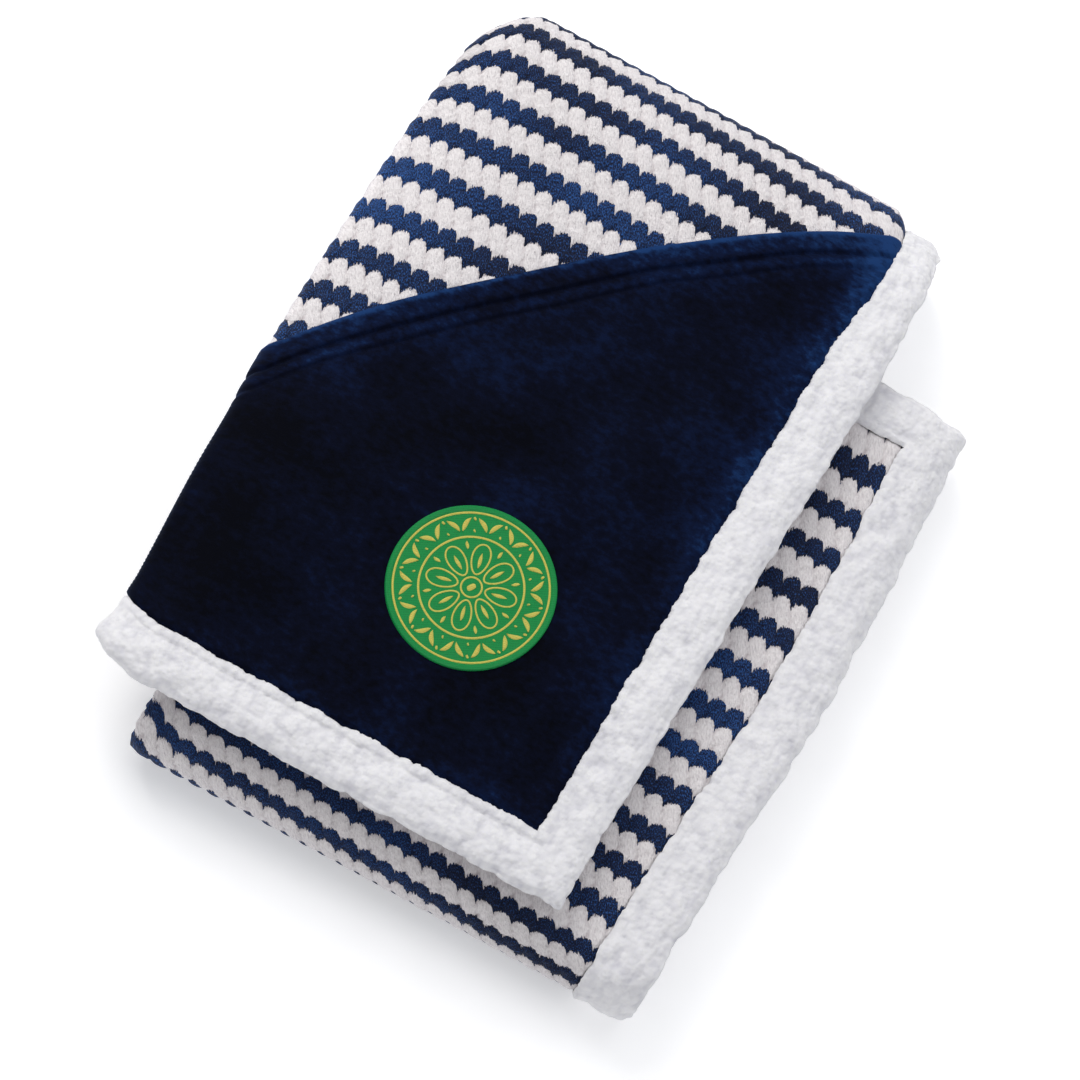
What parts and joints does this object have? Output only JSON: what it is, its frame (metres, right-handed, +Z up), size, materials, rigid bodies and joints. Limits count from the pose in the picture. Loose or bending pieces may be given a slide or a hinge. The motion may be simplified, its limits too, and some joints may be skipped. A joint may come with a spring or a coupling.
{
  "type": "folded sherpa throw blanket",
  "caption": "Striped sherpa throw folded into a flat stack, with a turned-over fleece border, a plush corner patch and a round embroidered badge.",
  "frame": {"origin": "bottom centre of the folded throw's bounding box, on the surface it lies on", "axes": "+X to the right across the stack, along the stripes; +Y away from the viewer, from the near fold to the far fold; +Z up"},
  "size_m": [0.3974, 0.543, 0.077],
  "materials": {
    "sherpa_back": "curly sherpa fleece",
    "knit_face": "striped chenille knit, navy and cream",
    "corner_patch": "short-pile plush, navy",
    "badge": "satin-stitch embroidery, green and gold"
  },
  "bodies": {
    "root": {"sherpa_back": "sherpa_back", "knit_face": "knit_face", "corner_patch": "corner_patch", "badge": "badge"}
  },
  "joints": []
}
